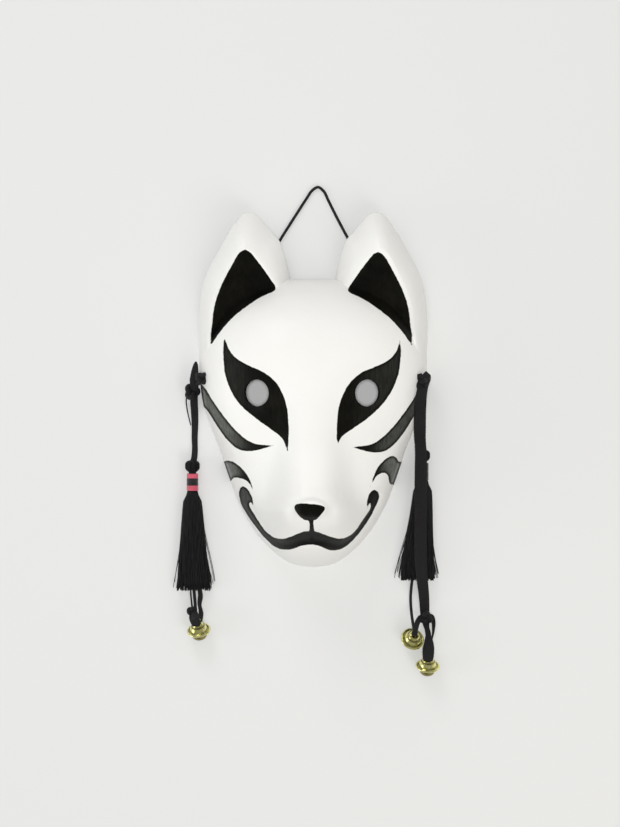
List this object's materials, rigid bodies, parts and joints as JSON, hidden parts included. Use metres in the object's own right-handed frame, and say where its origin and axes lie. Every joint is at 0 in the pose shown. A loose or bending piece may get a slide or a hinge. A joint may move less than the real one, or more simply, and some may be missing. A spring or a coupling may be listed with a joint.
{
  "type": "kitsune mask",
  "caption": "Fox-face mask with a long muzzle, pricked ears and round eye holes, with a head cord, side ribbons, tassels and jingle bells.",
  "frame": {"origin": "middle of the mask's bounding box without its cords, at the level of the surface that its rim lies on", "axes": "+X to the viewer's right, +Y from the chin to the ear tips, +Z out of the face"},
  "size_m": [0.1822, 0.3425, 0.0872],
  "materials": {
    "shell": "gloss",
    "cord": "braided",
    "tassel": "silky thread",
    "binding": "silky thread",
    "bell": "polished"
  },
  "bodies": {
    "root": {"mask_shell": "shell", "head_cord": "cord", "left_ribbon": "cord", "left_tassel": "tassel", "left_tassel_binding": "binding", "left_bell_cord": "cord", "left_bell": "bell", "right_ribbon": "cord", "right_tassel": "tassel", "right_tassel_binding": "binding", "right_bell_cord": "cord", "right_upper_bell": "bell", "right_lower_bell": "bell"}
  },
  "joints": []
}
